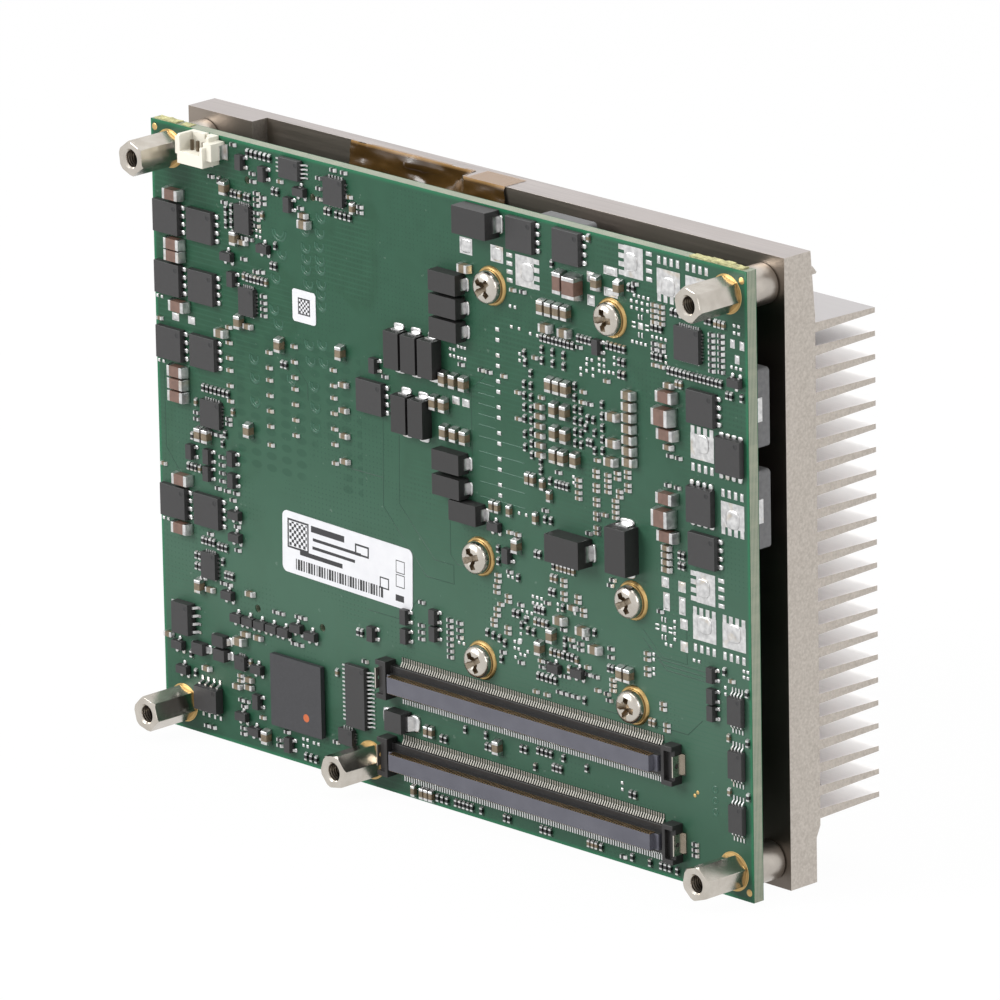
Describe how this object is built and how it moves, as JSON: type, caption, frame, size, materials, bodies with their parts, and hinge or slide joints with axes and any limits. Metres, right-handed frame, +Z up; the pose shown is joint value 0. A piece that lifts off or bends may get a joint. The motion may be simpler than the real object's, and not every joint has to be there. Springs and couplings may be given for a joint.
{
  "type": "system on module",
  "caption": "Upright computer module: a dense circuit board with two board-to-board connectors and hex standoffs, mounted on a finned aluminium cooler.",
  "frame": {"origin": "middle of the footprint, on the surface that the lower edges stand on", "axes": "+X along the board from the fan header to the plain side, +Y from the connector side to the fins, +Z up"},
  "size_m": [0.125, 0.0342, 0.0955],
  "materials": {
    "board_green": "satin solder mask",
    "aluminium": "satin extruded",
    "nickel": "plated",
    "gold": "plated",
    "contact_gold": "plated",
    "solder": "tinned",
    "connector_black": "moulded",
    "connector_grey": "moulded",
    "ivory_plastic": "moulded",
    "black_moulding": "moulded",
    "brown_ceramic": "fired",
    "tan_ceramic": "fired",
    "resistor_black": "glazed",
    "label_white": "matte",
    "tape_amber": "glossy film",
    "substrate_green": "laminate",
    "die_silicon": "polished",
    "pad_grey": "soft",
    "inductor_grey": "pressed powder"
  },
  "bodies": {
    "root": {"circuit_board": "board_green", "heatsink": "aluminium", "board_posts": "nickel", "standoffs": "nickel", "clamp_screws": "nickel", "gold_lands": "gold", "solder_pads": "solder", "upper_connector_base": "connector_black", "upper_connector_insert": "connector_grey", "upper_connector_leads": "solder", "lower_connector_base": "connector_black", "lower_connector_insert": "connector_grey", "lower_connector_leads": "solder", "connector_contacts": "contact_gold", "connector_hold_downs": "nickel", "fan_header_housing": "ivory_plastic", "fan_header_pins": "gold", "fan_header_tabs": "solder", "power_transistors": "black_moulding", "transistor_leads": "solder", "tantalum_capacitors": "black_moulding", "tantalum_terminals": "solder", "ceramic_capacitors": "brown_ceramic", "ceramic_terminals": "solder", "medium_capacitors": "tan_ceramic", "medium_terminals": "solder", "small_capacitors": "tan_ceramic", "small_resistors": "resistor_black", "controller_chips": "black_moulding", "controller_leads": "solder", "bridge_chip": "black_moulding", "bridge_chip_balls": "solder", "driver_chips": "black_moulding", "driver_leads": "solder", "small_transistors": "black_moulding", "small_transistor_leads": "solder", "diodes": "black_moulding", "diode_leads": "solder", "identity_label": "label_white", "code_label": "label_white", "polyimide_tape": "tape_amber", "processor_substrate": "substrate_green", "processor_die": "die_silicon", "processor_thermal_pad": "pad_grey", "hub_package": "black_moulding", "hub_thermal_pad": "pad_grey", "memory_chips": "black_moulding", "memory_thermal_pad": "pad_grey", "inner_inductors": "inductor_grey", "inductor_terminals": "solder"}
  },
  "joints": []
}
